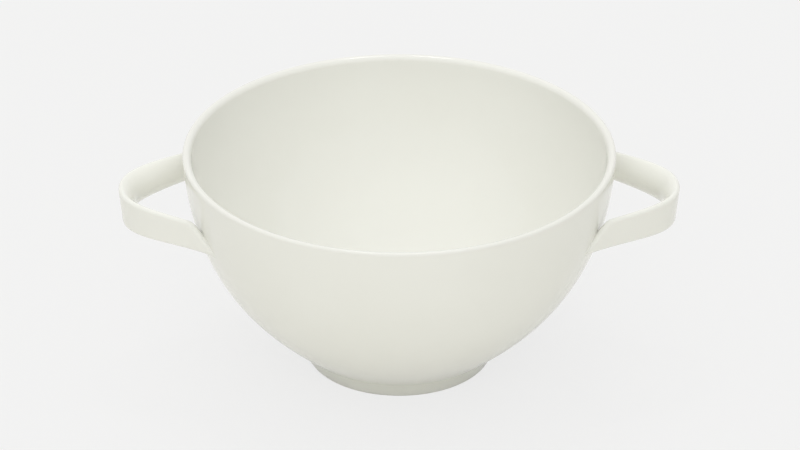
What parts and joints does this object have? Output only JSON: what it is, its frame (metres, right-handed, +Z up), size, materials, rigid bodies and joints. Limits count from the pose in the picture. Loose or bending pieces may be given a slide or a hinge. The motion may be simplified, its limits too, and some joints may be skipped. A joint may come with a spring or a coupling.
{
  "type": "soup cup",
  "caption": "Glazed white porcelain soup cup: deep rounded bowl on a low turned foot ring, with a looped strap handle luted to the wall on each side.",
  "frame": {"origin": "on the table, under the centre of the foot ring", "axes": "+Z up along the bowl's axis, +X through the middle of the right handle, +Y away from the viewer of the picture"},
  "size_m": [0.156, 0.12, 0.064],
  "materials": {
    "glaze": "clear gloss glaze over off-white porcelain",
    "foot": "the same gloss glaze, wiped off where the ring stands on the table"
  },
  "bodies": {
    "root": {"bowl": "glaze", "foot_ring": "foot", "right_handle": "glaze", "left_handle": "glaze"}
  },
  "joints": []
}
